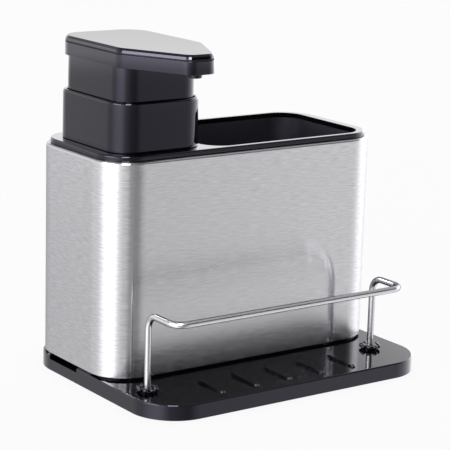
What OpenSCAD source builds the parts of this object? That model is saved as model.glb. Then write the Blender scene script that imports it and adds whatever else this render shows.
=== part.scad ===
// Sink-side soap pump caddy: a steel sleeve on a drip tray, with a pump bottle in its left bay,
// a brush well in its right bay and a wire rail round the front shelf.
// Origin: middle of the tray's footprint on the surface it stands on. +X right, +Y back, +Z up.

/* [Tray] */
// Depth of the shelf in front of the sleeve
shelf_d = 42.1; // [38:0.1:70]
// Distance by which the tray stands out beyond the sleeve's left side
tray_left = 0.2; // [0.2:0.1:4]
// Distance by which the tray stands out beyond the sleeve's right side
tray_right = 2.2; // [0.2:0.1:6]
// Distance by which the tray stands out behind the sleeve
tray_back = 4.5; // [4.2:0.1:12]
// Corner radius of the tray
tray_r = 22.5; // [16:0.5:24]
// Height of the shelf above the surface
shelf_h = 7.8; // [6.6:0.1:14]
// Thickness of the tray's wall and floor
tray_t = 2; // [1.6:0.1:2.6]
// Radius of the tray's top edge
tray_edge_r = 0.8; // [0.5:0.1:1.8]
// Gap between the tray's wall and the surface
tray_gap = 0.2; // [0.2:0.1:1]
// Height of the sleeve's seat above the shelf
seat_h = 1.2; // [1:0.1:4]
// Width of the sleeve's seat
seat_w = 2.6; // [2.2:0.1:2.8]
// Height of the upstand that locates the sleeve, above the shelf
upstand_h = 6; // [4:0.5:12]

/* [Ribs on the shelf] */
// Number of ribs
rib_n = 5; // [3:1:6]
// Distance from one rib to the next
rib_pitch = 19.5; // [14:0.5:21]
// Length of a rib, front to back
rib_l = 20; // [10:0.5:22]
// Thickness of a rib
rib_t = 1.8; // [1.5:0.1:4]
// Height of a rib at its back end
rib_back_h = 1.4; // [1.2:0.1:6]
// Height of a rib at its front tip
rib_tip_h = 0.8; // [0.6:0.1:1.9]
// Distance from the tray's front edge to the ribs' tips
rib_front = 6; // [4:0.5:9]
// Sideways place of the middle rib
rib_x = -2.4; // [-6:0.1:6]

/* [Drain notch] */
// Width of the notch in the tray's left wall
notch_w = 25.5; // [12:0.5:26]
// Height of the notch's floor above the surface
notch_floor_h = 5.7; // [4:0.1:6]
// Distance from the sleeve's middle back to the notch's middle
notch_back = 6.1; // [0:0.1:9]

/* [Feet and screws] */
// Diameter of a rubber foot
foot_d = 12; // [8:0.5:14]
// Thickness of a rubber foot
foot_t = 2; // [1.5:0.1:2.6]
// Distance from the tray's side to a foot's middle
foot_in_x = 25.2; // [24:0.1:30]
// Distance from the tray's front or back to a foot's middle
foot_in_y = 14.5; // [13.5:0.1:18]
// Shank diameter of a base screw
screw_d = 3; // [2.5:0.1:3.2]
// Length of a base screw under its head
screw_l = 8; // [6:0.1:8.4]
// Head diameter of a base screw
screw_head_d = 5.8; // [5:0.1:6.4]
// Head height of a base screw
screw_head_h = 1.8; // [1.2:0.1:2]

/* [Sleeve] */
// Width of the steel sleeve
sleeve_w = 160; // [158:0.5:200]
// Depth of the steel sleeve
sleeve_d = 74.4; // [74:0.1:90]
// Corner radius of the sleeve
sleeve_r = 18.5; // [17:0.1:22]
// Height of the sleeve
sleeve_h = 103.7; // [90:0.1:160]
// Thickness of the steel
sleeve_t = 0.8; // [0.5:0.1:1]
// Width of the turned-in top lip, measured from the outside
lip_w = 3.4; // [3:0.1:3.8]
// Radius of the bend at the sleeve's top
lip_bend_r = 1.2; // [0.8:0.1:1.6]

/* [Top frame] */
// Distance from the sleeve's side to the frame's rim
rim_inset = 2; // [1.5:0.1:2.6]
// Height of the frame's rim above the steel
rim_h = 2.6; // [2:0.1:5]
// Radius of the rim's top edge
rim_edge_r = 0.8; // [0.4:0.1:1.2]
// Height of the shadow line between the rim and the steel
seam_h = 0.4; // [0.2:0.1:0.8]
// Height of the skirt that locates the frame inside the steel's lip
skirt_h = 6; // [3:0.5:12]
// Diameter of the frame's two screw posts
post_d = 6; // [5:0.1:6]
// Sideways distance from the sleeve's side to a screw post's middle
post_in_x = 10; // [9.8:0.1:10.4]
// Distance from the sleeve's front or back to a screw post's middle
post_in_y = 10; // [9.8:0.1:10.4]

/* [Brush well] */
// Width of the frame's bar between the bottle's bay and the brush well's mouth
bar_w = 2.9; // [2.4:0.1:12]
// Distance from the brush well's mouth to the sleeve's right side
mouth_right = 7.5; // [7.2:0.1:9]
// Distance from the brush well's mouth to the sleeve's front and back
mouth_in_y = 4.8; // [4.7:0.1:6]
// Corner radius of the brush well's mouth
mouth_r = 12; // [10:0.5:16]
// Wall thickness of the brush well
well_t = 1.2; // [0.9:0.1:1.3]
// Height of the brush well's floor above the tray's floor
well_lift = 6.8; // [5:0.1:16]
// Thickness of the brush well's floor
well_floor_t = 1.6; // [1.2:0.1:2]
// Number of drain slots in the brush well's floor
slot_n = 5; // [2:1:5]
// Width of a drain slot
slot_w = 3.5; // [2:0.1:4]
// Length of a drain slot
slot_l = 26; // [12:1:34]
// Distance from one drain slot to the next
slot_pitch = 8; // [7:0.1:8.4]

/* [Wire rail] */
// Diameter of the rail's wire
wire_d = 3.2; // [2.4:0.1:4]
// Distance from the tray's left side to the left post
rail_left = 10.6; // [10:0.1:30]
// Distance from the tray's right side to the right post
rail_right = 18; // [12:0.1:30]
// Height of the crossbar's middle above the surface
rail_h = 45; // [30:0.5:80]
// Place of the posts, front to back, from the tray's front edge
rail_post_y = 26.3; // [24:0.1:28]
// Place of the crossbar's middle, from the tray's front edge
rail_bar_y = 3.3; // [2:0.1:8]
// Bend radius of the wire, at its middle
rail_bend_r = 6.5; // [4:0.1:8]
// Diameter of a rail collar over its lobes
rail_collar_d = 10.8; // [8:0.1:12]
// Height of a rail collar
rail_collar_h = 2.7; // [1.8:0.1:4]
// Diameter of a rail collar's foot, under its lobes
rail_collar_foot_d = 7.4; // [6:0.1:8]
// Diameter of a lobe on a rail collar
lobe_d = 2.4; // [1.6:0.1:2.8]
// Height of the lobes
lobe_h = 1.8; // [1:0.1:1.8]
// Number of lobes on a rail collar
lobe_n = 8; // [5:1:10]

/* [Bottle] */
// Width of the bottle
bottle_w = 44; // [38:0.5:45]
// Distance from the sleeve's left side to the bottle
bottle_in_x = 10.4; // [10:0.1:12]
// Distance from the sleeve's front and back to the bottle
bottle_in_y = 9.6; // [9:0.1:14]
// Corner radius of the bottle
bottle_r = 9.5; // [7:0.5:12]
// Wall thickness of the bottle
bottle_t = 1.6; // [1:0.1:1.8]
// Gap between the bottle and the tray's floor
bottle_gap = 2; // [1:0.5:6]
// Width of the bottle's flange, outside its wall
flange_w = 1.5; // [1.2:0.1:1.6]
// Thickness of the bottle's flange
flange_t = 1; // [0.8:0.1:2]

/* [Pump base] */
// Distance by which the pump's collar stands out beyond the bottle
collar_out = 2.7; // [2.4:0.1:3]
// Height of the pump's collar
collar_h = 22.7; // [22:0.1:32]
// Wall thickness of the pump's collar
collar_t = 1.8; // [1.2:0.1:2]
// Thickness of the collar's floor
collar_floor_t = 2; // [1.5:0.1:2.4]
// Depth of the collar's plug in the bottle's mouth
plug_h = 6; // [5:0.5:9]
// Height of the seal round the plug
seal_h = 2.3; // [1.5:0.1:3]
// Bore of the pump's cylinder
bore_d = 14.6; // [12:0.1:15]
// Wall thickness of the pump's cylinder
barrel_t = 1.7; // [1.2:0.1:2]
// Length of the pump's cylinder below the collar's floor
barrel_l = 66.3; // [62:0.1:74]
// Thickness of the cylinder's bottom
barrel_floor_t = 2; // [1.5:0.1:3]
// Width across the corners of the cylinder's nut
nut_d = 30; // [26:0.5:32]
// Height of the cylinder's nut
nut_h = 5; // [3:0.5:7]
// Outer diameter of the dip tube
dip_d = 6; // [5:0.1:7]
// Bore of the dip tube
dip_bore_d = 4; // [3:0.1:4.4]
// Gap between the dip tube and the bottle's floor
dip_gap = 2.7; // [1:0.1:8]

/* [Pump head] */
// Stroke of the pump head
stroke = 13; // [8:0.5:14]
// Gap between the head and the collar at rest
head_gap = 16.4; // [16:0.1:18]
// Distance by which the head stands out beyond the shroud's sides
head_out = 1.4; // [0.8:0.1:4]
// Distance by which the head stands out behind the shroud
head_back_out = 3.4; // [2.6:0.1:8]
// Length of the spout in front of the shroud
spout_l = 32.7; // [25:0.1:42]
// Distance from the shroud's front back to the head's shoulders, where the spout starts
shoulder_in = 1.8; // [0.8:0.1:4]
// Corner radius of the head's back
head_back_r = 13; // [10:0.1:16]
// Corner radius of the head's shoulders
shoulder_r = 13; // [4:0.1:14]
// Width of the spout's end
tip_w = 13.8; // [11.4:0.1:20]
// Corner radius of the spout's end
tip_r = 6.6; // [3:0.1:7]
// Height of the head's lower shell
shell_h = 6.3; // [5.6:0.1:9]
// Wall thickness of the head's shell
shell_t = 1.6; // [1.2:0.1:1.7]
// Height of the groove between shell and cap
groove_h = 0.6; // [0.4:0.1:1.4]
// Depth of the groove between shell and cap
groove_in = 0.4; // [0.2:0.1:0.6]
// Thickness of the cap's edge
cap_h = 2.4; // [2:0.1:4]
// Thickness of the cap's roof
cap_roof_t = 1.4; // [1:0.1:1.5]
// Radius of the cap's top edge
cap_edge_r = 1.2; // [0.4:0.1:1.4]
// Gap between the plunger's shroud and the collar
shroud_gap = 0.7; // [0.5:0.1:1.5]
// Wall thickness of the plunger's shroud
shroud_t = 1.5; // [1:0.1:1.6]
// Length of the shroud inside the collar at rest
shroud_in = 5.5; // [4:0.1:6]
// Distance from the spout's end to the nozzle's axis
nozzle_in = 6.2; // [6:0.1:12]
// Outer diameter of the nozzle's tip
nozzle_d = 6.6; // [5.6:0.1:7]
// Height of the nozzle's tip below the head
nozzle_h = 2.1; // [1.5:0.1:4]
// Bore of the soap passage
passage_d = 2.6; // [2.4:0.1:2.8]
// Bore of the nozzle
outlet_d = 2.2; // [1.6:0.1:2.3]
// Outer diameter of the passage's tube
channel_d = 5; // [4.6:0.1:5.2]
// Outer diameter of the plunger's stem
stem_d = 7; // [6:0.1:7.4]
// Bore of the plunger's stem
stem_bore_d = 3.6; // [3:0.1:3.8]
// Height of the piston
piston_h = 6; // [5:0.1:8]
// Diameter of the piston's waist
piston_waist_d = 11; // [9:0.1:13]
// Height of each of the piston's two lips
piston_lip_h = 1.2; // [0.8:0.1:1.6]
// Diameter of the stop ring on the stem
stop_d = 10.6; // [9:0.1:13]
// Height of the stop ring on the stem
stop_h = 2; // [1:0.1:4]
// Wire diameter of the return spring
spring_wire_d = 1; // [0.8:0.1:1.2]
// Outer diameter of the return spring
spring_d = 13; // [11:0.1:13.4]
// Number of open coils in the return spring
spring_n = 7; // [5:1:8]
// Length that the spring keeps beyond its stroke and its solid height
spring_spare = 2.1; // [1:0.1:4]
// Height of the inlet ball's cage
cage_h = 8; // [7.6:0.1:10]
// Diameter of the inlet ball
inlet_ball_d = 5; // [4.6:0.1:5.2]
// Lift of the inlet ball
inlet_lift = 2; // [1:0.1:2]
// Diameter of the outlet ball
outlet_ball_d = 4.4; // [4.2:0.1:4.6]
// Lift of the outlet ball
outlet_lift = 0.9; // [0.5:0.1:1]

/* [Hidden] */
$fn = 64;

// Overrun of every cut past the face it opens
over = 1;
// Radial gap of a shaft in its bore
run_gap = 0.05;
// Gap round a piece that lifts out
lift_gap = 0.5;
// Gap between a piece and what only locates it
locate_gap = 0.2;
// Gap that keeps a check ball off its seat
ball_gap = 0.05;
// Gap between the seal and the bottle's mouth
seal_gap = 0.1;
// Depth of the seal's groove in the plug
seal_groove = 0.8;
// Pitch of the spring's closed end turns, in wire diameters
end_pitch_share = 1.45;
// Width and length of the two slits in the ball cage's roof
slit_w = 1.6;
slit_l = 8.8;
// Height over which the piston's lips taper into its waist
piston_taper = 0.6;
// Height of the stem's top above the head's underside
stem_in = 1.3;
// Wall of a boss over a foot
foot_boss_t = 1.5;
// Thickness and depth of the rim by which the cap plugs into the shell
cap_rim_t = 1.2;
cap_rim_h = 1;

// Heights
floor_z = shelf_h - tray_t;
seat_z = shelf_h + seat_h;
steel_top = seat_z + sleeve_h;
deck_top = steel_top + rim_h;
collar_z = deck_top + flange_t;
collar_top = collar_z + collar_h;
head_z = collar_top + head_gap;
shell_top = head_z + shell_h;
cap_z = shell_top + groove_h;
head_top = cap_z + cap_h;

// Tray round the sleeve, and the sleeve's middle on it
tray_w = tray_left + sleeve_w + tray_right;
tray_d = shelf_d + sleeve_d + tray_back;
body_x = (tray_left - tray_right) / 2;
body_y = (shelf_d - tray_back) / 2;
notch_y = body_y + notch_back;
// Bottle in the sleeve, with the collar, shroud and head that follow its plan
bottle_d = sleeve_d - 2 * bottle_in_y;
pump_x = body_x - sleeve_w / 2 + bottle_in_x + bottle_w / 2;
collar_w = bottle_w + 2 * collar_out;
collar_d = bottle_d + 2 * collar_out;
collar_r = bottle_r + collar_out;
shroud_inset = collar_t + shroud_gap;
shroud_w = collar_w - 2 * shroud_inset;
shroud_d = collar_d - 2 * shroud_inset;
shroud_r = collar_r - shroud_inset;
head_w = shroud_w + 2 * head_out;
head_back = shroud_d / 2 + head_back_out;
head_front = shroud_d / 2 + spout_l;
shoulder_y = shroud_d / 2 - shoulder_in;
nozzle_y = head_front - nozzle_in;
// Sides of the brush well's mouth
mouth_x1 = body_x + sleeve_w / 2 - mouth_right;
mouth_x0 = pump_x + bottle_w / 2 + lift_gap + bar_w;
mouth_x = (mouth_x0 + mouth_x1) / 2;
mouth_w = mouth_x1 - mouth_x0;
mouth_d = sleeve_d - 2 * mouth_in_y;
well_floor_z = shelf_h + well_lift;

// Screw posts on the left, screw bosses of the brush well on the right
post_x = body_x - sleeve_w / 2 + post_in_x;
post_y = sleeve_d / 2 - post_in_y;
boss_x_share = 0.74;
boss_x = mouth_x0 + mouth_w * boss_x_share;
boss_y = post_y / 2;
boss_d = post_d + screw_d / 3;
pilot_d = screw_d + 2 * run_gap;
pilot_top = floor_z + screw_l + locate_gap;
screw_places = [[post_x, body_y - post_y], [post_x, body_y + post_y],
    [boss_x, body_y - boss_y], [boss_x, body_y + boss_y]];

// Heights on the pump's axis
bottle_z = shelf_h + bottle_gap;
plug_in = bottle_t + lift_gap;
floor_top = collar_z + collar_floor_t;
barrel_d = bore_d + 2 * barrel_t;
barrel_z = collar_z - barrel_l;
flange_d = barrel_d + 4 * collar_floor_t;
flange_h = 1.5;
inlet_z = barrel_z + barrel_floor_t;
inlet_d = stem_bore_d;
cage_z = inlet_z + cage_h;
spigot_h = 8;
spigot_d = dip_d + 2 * barrel_floor_t;
dip_z = bottle_z + bottle_t + dip_gap;
dip_top = barrel_z - run_gap;
spring_solid = (spring_n + 2 * end_pitch_share + 1) * spring_wire_d;
piston_z = cage_z + spring_solid + stroke + spring_spare;
stem_z = piston_z + piston_lip_h + piston_taper;
stem_top = head_z + stem_in;
bush_l = 5;
bush_z = floor_top + flange_h - bush_l;
bush_flange_d = flange_d - 4 * barrel_t;
channel_z = head_z + shell_t + channel_d / 2 + locate_gap;
socket_d = stem_d + 2 * barrel_t;
socket_h = 7;
chamber_d = outlet_ball_d + 4 * locate_gap;
inlet_ball_z = inlet_z + sqrt(pow(inlet_ball_d / 2, 2) - pow(inlet_d / 2, 2)) + ball_gap;
outlet_ball_z = stem_top + sqrt(pow(outlet_ball_d / 2, 2) - pow(stem_bore_d / 2, 2)) + ball_gap;
spigot_out_d = channel_d - 2 * locate_gap;

black = "#26262b";
steel = "#c3c3c6";

// Rounded rectangle in plan, centred on the origin
module plan(w, d, r) {
    square([w - 2 * r, d], center = true);
    square([w, d - 2 * r], center = true);
    for (sx = [-1, 1], sy = [-1, 1])
        translate([sx * (w / 2 - r), sy * (d / 2 - r)])
            circle(r);
}

module block(w, d, r, h) {
    linear_extrude(h) plan(w, d, r);
}

// Blocks on the sleeve's, the bottle's and the collar's plan, set in by a distance
module sleeve_block(in, h) {
    block(sleeve_w - 2 * in, sleeve_d - 2 * in, sleeve_r - in, h);
}

module bottle_block(in, h) {
    block(bottle_w - 2 * in, bottle_d - 2 * in, bottle_r - in, h);
}

module collar_block(in, h) {
    block(collar_w - 2 * in, collar_d - 2 * in, collar_r - in, h);
}

// Section of a block's side, from its corner's centre outwards, with its top edge rounded
module edge_section(r, h, e) {
    square([r, h - e]);
    square([r - e, h]);
    intersection() {
        translate([r - e, h - e]) circle(e);
        square([r, h]);
    }
}

// Rounded block with a rounded top edge
module soft_block(w, d, r, h, e) {
    cx = w / 2 - r;
    cy = d / 2 - r;
    for (c = [[1, 1, 0], [-1, 1, 90], [-1, -1, 180], [1, -1, 270]])
        translate([c[0] * cx, c[1] * cy, 0])
            rotate([0, 0, c[2]])
                rotate_extrude(angle = 90) edge_section(r, h, e);
    for (a = [0, 180]) rotate([0, 0, a]) {
        translate([cx, cy, 0]) rotate([90, 0, 0]) linear_extrude(2 * cy) edge_section(r, h, e);
        translate([-cx, cy, 0]) rotate([90, 0, 90]) linear_extrude(2 * cx) edge_section(r, h, e);
    }
    translate([-cx, -cy, 0]) cube([2 * cx, 2 * cy, h]);
}

module at_body(z) {
    translate([body_x, body_y, z]) children();
}

module at_pump(z) {
    translate([pump_x, body_y, z]) children();
}

module pipe(d, bore, h) {
    difference() {
        cylinder(d = d, h = h);
        translate([0, 0, -over]) cylinder(d = bore, h = h + 2 * over);
    }
}

// Places of the feet
module at_feet() {
    for (sx = [-1, 1], sy = [-1, 1])
        translate([sx * (tray_w / 2 - foot_in_x), sy * (tray_d / 2 - foot_in_y), 0])
            children();
}

rail_w = tray_w - rail_left - rail_right;
rail_x = (rail_left - rail_right) / 2;
rail_y = -tray_d / 2 + rail_post_y;
bar_y = -tray_d / 2 + rail_bar_y;
rail_foot_z = floor_z - tray_t;

// Places of the rail's two posts
module at_posts() {
    for (sx = [-1, 1])
        translate([rail_x + sx * rail_w / 2, rail_y, 0])
            children();
}

// Tapered rib, rounded in plan at its front tip
module rib() {
    r = rib_t / 2;
    tip = -tray_d / 2 + rib_front + r;
    back = tip - r + rib_l;
    back_z = shelf_h + rib_back_h;
    rotate([90, 0, 90])
        translate([0, 0, -r])
            linear_extrude(rib_t)
                polygon([[tip, floor_z], [back, floor_z], [back, back_z], [tip, shelf_h + rib_tip_h]]);
    translate([0, tip, floor_z]) cylinder(r = r, h = tray_t + rib_tip_h);
}

drain_l = tray_left + seat_w + 4 * tray_t;

// Notch through the left wall, with its channel through the seat and the upstand
module drain_cut(l) {
    translate([-tray_w / 2 - over, notch_y - notch_w / 2, notch_floor_h])
        cube([l + over, notch_w, shelf_h + upstand_h + over]);
}

module rail_sockets() {
    at_posts() translate([0, 0, rail_foot_z - run_gap]) cylinder(d = wire_d + 2 * run_gap, h = shelf_h);
}

// Shelf with its walls, the sleeve's seat and the upstand inside the sleeve
module tray_shell() {
    difference() {
        union() {
            translate([0, 0, tray_gap]) soft_block(tray_w, tray_d, tray_r, shelf_h - tray_gap, tray_edge_r);
            at_body(floor_z) sleeve_block(locate_gap, tray_t + seat_h);
            at_body(floor_z) sleeve_block(sleeve_t + locate_gap, tray_t + upstand_h);
        }
        translate([0, 0, tray_gap - over])
            block(tray_w - 2 * tray_t, tray_d - 2 * tray_t, tray_r - tray_t, floor_z - tray_gap + over);
        at_body(shelf_h) sleeve_block(seat_w, upstand_h + over);
        drain_cut(drain_l);
        for (p = screw_places)
            translate([p[0], p[1], 0]) cylinder(d = screw_d + 2 * locate_gap, h = shelf_h + over);
        rail_sockets();
    }
}

// Bosses under the tray: over the feet, round the rail's sockets and under the notch
module tray_bosses() {
    boss_z = tray_gap + locate_gap;
    difference() {
        union() {
            at_feet() translate([0, 0, boss_z]) cylinder(d = foot_d + 2 * foot_boss_t, h = floor_z - boss_z);
            at_posts() translate([0, 0, boss_z]) cylinder(d = wire_d + 2 * tray_t, h = floor_z - boss_z);
            translate([(tray_t - tray_w) / 2, notch_y - notch_w / 2 - tray_t, notch_floor_h - tray_t])
                cube([drain_l, notch_w + 2 * tray_t, floor_z - notch_floor_h + tray_t]);
        }
        at_feet() cylinder(d = foot_d + 2 * run_gap, h = foot_t);
        drain_cut(drain_l - tray_t);
        rail_sockets();
    }
    for (p = screw_places)
        translate([p[0], p[1], floor_z - screw_head_h])
            pipe(screw_head_d + 2 * tray_t, screw_head_d + 4 * locate_gap, screw_head_h);
}

module drip_tray() color(black) {
    tray_shell();
    tray_bosses();
    for (i = [0:rib_n - 1])
        translate([rib_x + (i - (rib_n - 1) / 2) * rib_pitch, 0, 0])
            rib();
}

module rubber_feet() color("#17171a")
    at_feet() cylinder(d = foot_d, h = foot_t);

module base_screws() color(steel)
    for (p = screw_places) translate([p[0], p[1], 0]) {
        translate([0, 0, floor_z - screw_head_h]) cylinder(d = screw_head_d, h = screw_head_h);
        translate([0, 0, floor_z - run_gap]) cylinder(d = screw_d, h = screw_l + run_gap);
    }

module steel_sleeve() color(steel) at_body(seat_z) difference() {
    soft_block(sleeve_w, sleeve_d, sleeve_r, sleeve_h, lip_bend_r);
    translate([0, 0, -over]) sleeve_block(sleeve_t, sleeve_h - sleeve_t + over);
    sleeve_block(lip_w, sleeve_h + over);
}

// Deck with its rim, a skirt inside the steel's lip on the bottle's side and two screw posts
module deck_frame() color(black) {
    deck_w = sleeve_w - 2 * rim_inset;
    deck_d = sleeve_d - 2 * rim_inset;
    skirt_in = lip_w + locate_gap;
    skirt_end = mouth_x0 - well_t - locate_gap;
    difference() {
        union() {
            at_body(steel_top + seam_h)
                soft_block(deck_w, deck_d, sleeve_r - rim_inset, rim_h - seam_h, rim_edge_r);
            at_body(steel_top) sleeve_block(rim_inset + seam_h, seam_h);
            difference() {
                at_body(steel_top - skirt_h) sleeve_block(skirt_in, skirt_h);
                at_body(steel_top - skirt_h - over) sleeve_block(skirt_in + well_t, skirt_h + over);
                translate([skirt_end, body_y - sleeve_d / 2, 0]) cube([sleeve_w, sleeve_d, steel_top + over]);
            }
        }
        at_pump(0) bottle_block(-lift_gap, deck_top + over);
        translate([mouth_x, body_y, 0]) block(mouth_w, mouth_d, mouth_r, deck_top + over);
    }
    for (sy = [-1, 1])
        translate([post_x, body_y + sy * post_y, shelf_h])
            difference() {
                cylinder(d = post_d, h = steel_top + seam_h - shelf_h);
                translate([0, 0, -over]) cylinder(d = pilot_d, h = pilot_top - shelf_h + over);
            }
}

module brush_well() color(black) difference() {
    union() {
        translate([mouth_x, body_y, well_floor_z])
            block(mouth_w + 2 * well_t, mouth_d + 2 * well_t, mouth_r + well_t, steel_top - well_floor_z);
        for (sy = [-1, 1])
            translate([boss_x, body_y + sy * boss_y, shelf_h])
                cylinder(d = boss_d, h = well_lift + well_floor_t / 2);
    }
    translate([mouth_x, body_y, well_floor_z + well_floor_t]) block(mouth_w, mouth_d, mouth_r, steel_top);
    for (sy = [-1, 1])
        translate([boss_x, body_y + sy * boss_y, shelf_h - over])
            cylinder(d = pilot_d, h = pilot_top - shelf_h + over);
    for (i = [0:slot_n - 1])
        translate([mouth_x + (i - (slot_n - 1) / 2) * slot_pitch, body_y, well_floor_z - over])
            linear_extrude(well_floor_t + 2 * over) slot();
}

module slot() {
    square([slot_w, slot_l - slot_w], center = true);
    for (sy = [-1, 1]) translate([0, sy * (slot_l - slot_w) / 2]) circle(d = slot_w);
}

// Quarter bend of the wire in the XY plane, round the origin
module wire_bend() {
    rotate_extrude(angle = 90)
        translate([rail_bend_r, 0])
            circle(d = wire_d);
}

module half_rail() {
    x = -rail_w / 2;
    post_h = rail_h - rail_bend_r - rail_foot_z;
    run = rail_y - bar_y - 2 * rail_bend_r;
    translate([x, rail_y, rail_foot_z]) cylinder(d = wire_d, h = post_h);
    translate([x, rail_y - rail_bend_r, rail_h - rail_bend_r]) rotate([90, 0, 90]) wire_bend();
    translate([x, bar_y + rail_bend_r, rail_h]) rotate([-90, 0, 0]) cylinder(d = wire_d, h = run);
    translate([x + rail_bend_r, bar_y + rail_bend_r, rail_h]) rotate([0, 0, 180]) wire_bend();
    translate([x + rail_bend_r, bar_y, rail_h]) rotate([0, 90, 0]) cylinder(d = wire_d, h = -x - rail_bend_r);
}

module wire_rail() color(steel)
    translate([rail_x, 0, 0]) {
        half_rail();
        mirror([1, 0, 0]) half_rail();
    }

// Collar round a rail post: a foot that stands on the shelf, with a ring of lobes on it
module rail_collar(side) {
    ring_r = (rail_collar_d - lobe_d) / 2;
    lobe_z = rail_collar_h - lobe_h;
    translate([rail_x + side * rail_w / 2, rail_y, shelf_h])
        difference() {
            union() {
                cylinder(d = rail_collar_foot_d, h = lobe_z + lobe_h / 2);
                translate([0, 0, lobe_z]) linear_extrude(lobe_h) {
                    circle(ring_r);
                    for (i = [0:lobe_n - 1])
                        rotate(i * 360 / lobe_n)
                            translate([ring_r, 0])
                                circle(d = lobe_d);
                }
            }
            translate([0, 0, -over]) cylinder(d = wire_d + 4 * run_gap, h = rail_collar_h + 2 * over);
        }
}

module rail_collar_left() color(black) rail_collar(-1);

module rail_collar_right() color(black) rail_collar(1);

module soap_bottle() color("#3a3a40") at_pump(0) difference() {
    union() {
        translate([0, 0, bottle_z]) bottle_block(0, collar_z - bottle_z);
        translate([0, 0, deck_top]) bottle_block(-flange_w, flange_t);
    }
    translate([0, 0, bottle_z + bottle_t]) bottle_block(bottle_t, collar_z);
}

seal_z = collar_z - plug_h / 2 - seal_h / 2;

// Outer walls down to the deck, round the bottle's flange, over a plug that fills the bottle's mouth
module pump_collar() color(black) at_pump(0) difference() {
    skirt_z = deck_top + seal_gap;
    union() {
        difference() {
            translate([0, 0, skirt_z]) collar_block(0, collar_top - skirt_z);
            translate([0, 0, skirt_z - over]) bottle_block(-flange_w - seal_gap, collar_z - skirt_z + over);
        }
        translate([0, 0, collar_z - plug_h]) bottle_block(plug_in, plug_h + collar_floor_t / 2);
    }
    translate([0, 0, floor_top]) collar_block(collar_t, collar_h);
    translate([0, 0, collar_z - plug_h - over]) bottle_block(plug_in + collar_t, plug_h + over);
    translate([0, 0, seal_z]) difference() {
        bottle_block(plug_in - over, seal_h);
        translate([0, 0, -over]) bottle_block(plug_in + seal_groove, seal_h + 2 * over);
    }
    translate([0, 0, collar_z - over]) cylinder(d = barrel_d + 2 * run_gap, h = collar_floor_t + 2 * over);
}

module mouth_seal() color("#8d8d92") at_pump(seal_z) difference() {
    bottle_block(bottle_t + seal_gap, seal_h);
    translate([0, 0, -over]) bottle_block(plug_in + seal_groove, seal_h + 2 * over);
}

module pump_cylinder() color("#e6e6e4") at_pump(0) difference() {
    union() {
        translate([0, 0, barrel_z]) cylinder(d = barrel_d, h = floor_top + flange_h - barrel_z);
        translate([0, 0, floor_top]) cylinder(d = flange_d, h = flange_h);
        translate([0, 0, barrel_z - spigot_h]) cylinder(d = spigot_d, h = spigot_h);
    }
    translate([0, 0, inlet_z]) cylinder(d = bore_d, h = floor_top);
    translate([0, 0, barrel_z - over]) cylinder(d = inlet_d, h = barrel_floor_t + 2 * over);
    translate([0, 0, barrel_z - spigot_h - over]) cylinder(d = dip_d + 2 * run_gap, h = spigot_h + over);
}

module cylinder_nut() color("#d2d2d0") at_pump(collar_z - nut_h) difference() {
    cylinder(d = nut_d, h = nut_h, $fn = 6);
    translate([0, 0, -over]) cylinder(d = barrel_d + 2 * run_gap, h = nut_h + 2 * over);
}

module stem_bush() color("#d2d2d0") at_pump(0) difference() {
    union() {
        translate([0, 0, floor_top + flange_h]) cylinder(d = bush_flange_d, h = flange_h);
        translate([0, 0, bush_z]) cylinder(d = bore_d - 2 * run_gap, h = bush_l + flange_h / 2);
    }
    translate([0, 0, bush_z - over]) cylinder(d = stem_d + 2 * run_gap, h = bush_l + flange_h + 2 * over);
}

module ball_cage() color("#d2d2d0") at_pump(inlet_z) difference() {
    ball_top = inlet_ball_z + inlet_ball_d / 2 + inlet_lift - inlet_z;
    cylinder(d = bore_d - 2 * run_gap, h = cage_h);
    translate([0, 0, -over]) cylinder(d = inlet_ball_d + 4 * locate_gap, h = ball_top + over + ball_gap);
    for (a = [0, 90])
        rotate([0, 0, a])
            translate([-slit_l / 2, -slit_w / 2, cage_h / 2])
                cube([slit_l, slit_w, cage_h]);
}

module inlet_ball() color("#b8babd") at_pump(inlet_ball_z) sphere(d = inlet_ball_d);

module dip_tube() color("#ececea") at_pump(dip_z) pipe(dip_d, dip_bore_d, dip_top - dip_z);

// Middle of the spring's wire after t turns: a closed turn, n open turns and a closed turn
function helix_point(t, n, r, h, w) =
    let (closed = w * end_pitch_share, open = (h - w - 2 * closed) / n,
        closed_turns = min(t, 1) + max(t - n - 1, 0), open_turns = min(max(t - 1, 0), n))
    [r * cos(360 * t), r * sin(360 * t), w / 2 + closed * closed_turns + open * open_turns];

// Round wire swept along a helix
module coil(n, r, h, w) {
    sides = 6;
    steps = 16;
    count = (n + 2) * steps;
    path = [for (i = [0:count]) helix_point(i / steps, n, r, h, w)];
    gaps = [for (i = [0:count - steps - 2], j = [i + steps - 2:i + steps + 2]) norm(path[j] - path[i]) - w];
    echo(least_gap_between_turns = min(gaps));
    rings = [for (i = [0:count], k = [0:sides - 1])
        let (a = 360 * i / steps, b = 360 * k / sides)
        path[i] + w / 2 * [cos(a) * cos(b), sin(a) * cos(b), sin(b)]];
    walls = [for (i = [0:count - 1], k = [0:sides - 1])
        let (a = i * sides + k, b = i * sides + (k + 1) % sides)
        each [[a, a + sides, b + sides], [a, b + sides, b]]];
    first = [for (k = [1:sides - 2]) [0, k, k + 1]];
    last = [for (k = [1:sides - 2]) [count * sides, count * sides + k + 1, count * sides + k]];
    polyhedron(rings, concat(walls, first, last));
}

module return_spring() color("#b8babd")
    at_pump(cage_z) coil(spring_n, (spring_d - spring_wire_d) / 2, piston_z - cage_z, spring_wire_d);

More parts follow.
